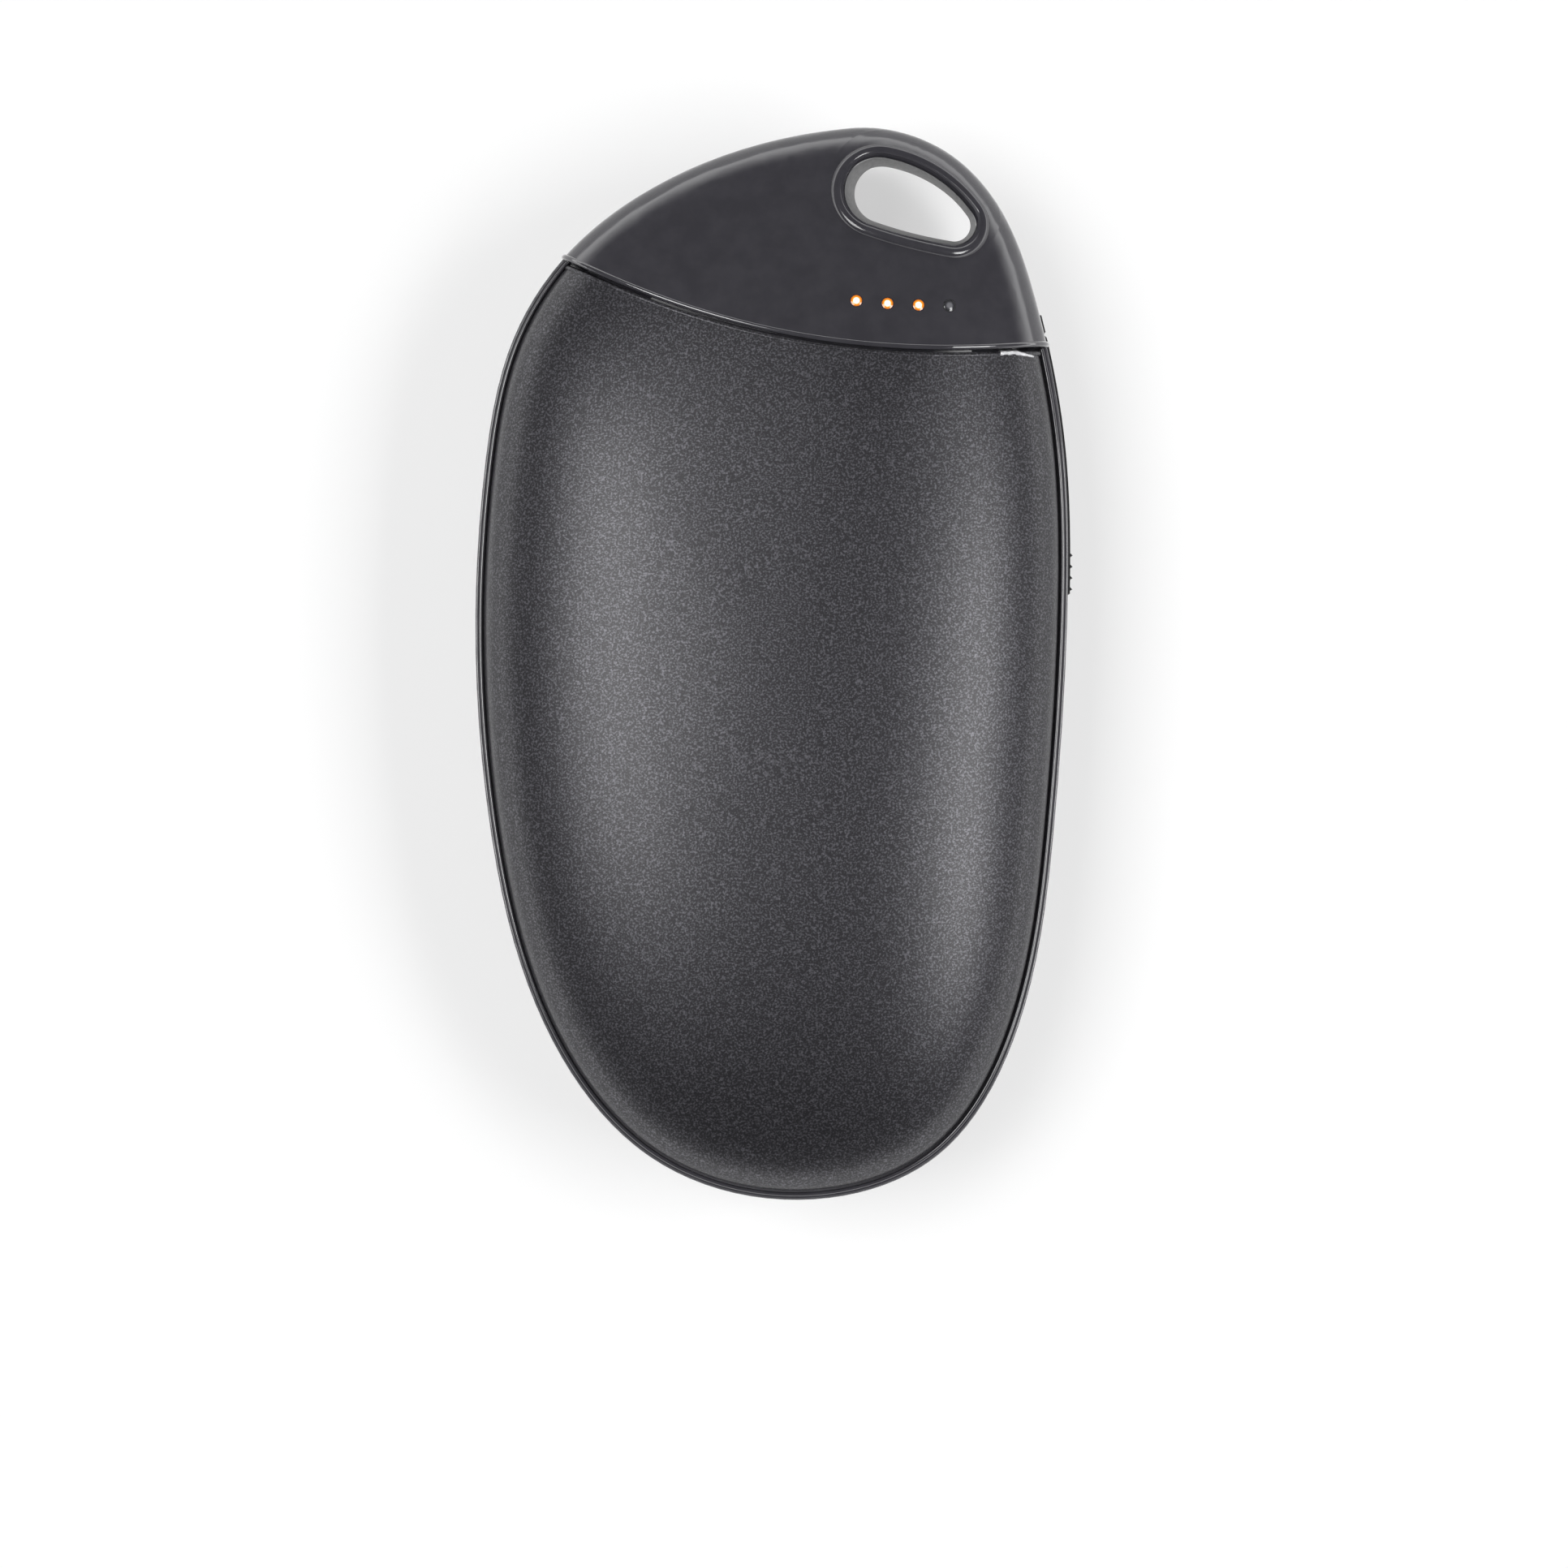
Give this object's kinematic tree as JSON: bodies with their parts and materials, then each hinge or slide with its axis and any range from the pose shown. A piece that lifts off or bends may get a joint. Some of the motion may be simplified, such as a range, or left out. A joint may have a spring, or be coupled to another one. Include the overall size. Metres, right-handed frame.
{
  "type": "rechargeable hand warmer",
  "caption": "Pebble-shaped rechargeable hand warmer: heated metal shells on both faces, black cap with cord eye, charge lights, power button and a rubber cover over its ports.",
  "frame": {"origin": "on the plane that the part rests on, under the middle of the pebble outline's width and length", "axes": "+Z out of the front face with the charge lights, +Y toward the cord-eye end, +X toward the port-cover flank"},
  "size_m": [0.0606, 0.1086, 0.027],
  "materials": {
    "housing_plastic": "semi-gloss black moulding",
    "painted_aluminium": "bead-blasted and painted charcoal, fine sparkle",
    "seal_rubber": "matt",
    "cover_rubber": "matt soft-touch",
    "heating_film": "polyimide film",
    "insulation_foam": "fine-cell foam",
    "cell_sleeve": "shrink sleeve over a metal can",
    "insulator_card": "fish paper",
    "nickel_strip": "bright nickel",
    "cradle_plastic": "matt black moulding",
    "circuit_board": "solder mask",
    "socket_steel": "bright nickel plate",
    "tongue_plastic": "matt",
    "button_plastic": "semi-gloss",
    "switch_plastic": "matt",
    "led_package": "matt white package",
    "guide_clear": "clear moulding, unlit",
    "ferrite": "moulded ferrite",
    "chip_epoxy": "moulded epoxy",
    "sensor_epoxy": "dipped epoxy",
    "lead_red": "insulated wire",
    "lead_black": "insulated wire",
    "lead_white": "insulated wire",
    "screw_steel": "black zinc",
    "guide_lit": "clear moulding, lit amber"
  },
  "bodies": {
    "warmer": {"front_housing": "housing_plastic", "rear_housing": "housing_plastic", "front_heat_shell": "painted_aluminium", "rear_heat_shell": "painted_aluminium", "front_shell_gasket": "seal_rubber", "rear_shell_gasket": "seal_rubber", "front_heating_film": "heating_film", "rear_heating_film": "heating_film", "front_insulation_pad": "insulation_foam", "rear_insulation_pad": "insulation_foam", "port_cover_anchor": "cover_rubber", "battery_cells": "cell_sleeve", "cell_insulators": "insulator_card", "cell_link_strips": "nickel_strip", "cell_cradle": "cradle_plastic", "main_board": "circuit_board", "usb_a_socket": "socket_steel", "micro_usb_socket": "socket_steel", "socket_tongues": "tongue_plastic", "power_switch": "switch_plastic", "indicator_leds": "led_package", "lit_light_guides": "guide_lit", "unlit_light_guide": "guide_clear", "power_inductor": "ferrite", "control_chips": "chip_epoxy", "temperature_sensors": "sensor_epoxy", "front_heater_leads": "lead_white", "rear_heater_leads": "lead_white", "battery_lead_positive": "lead_red", "battery_lead_negative": "lead_black", "housing_screws": "screw_steel"},
    "cover": {"port_cover": "cover_rubber"},
    "button": {"power_button": "button_plastic", "switch_plunger": "switch_plastic"}
  },
  "joints": [
    {"name": "port_cover_hinge", "type": "hinge", "parent": "warmer", "child": "cover", "pos_m": [0.02754, 0.033, 0.0135], "axis": [0, 0, 1], "range_deg": [0, 100], "stiffness_Nm_per_rad": 0.0008},
    {"name": "power_button_press", "type": "slide", "parent": "warmer", "child": "button", "axis": [0.2446, -0.9696, 0], "range_m": [0, 0.0005], "stiffness_N_per_m": 400}
  ]
}
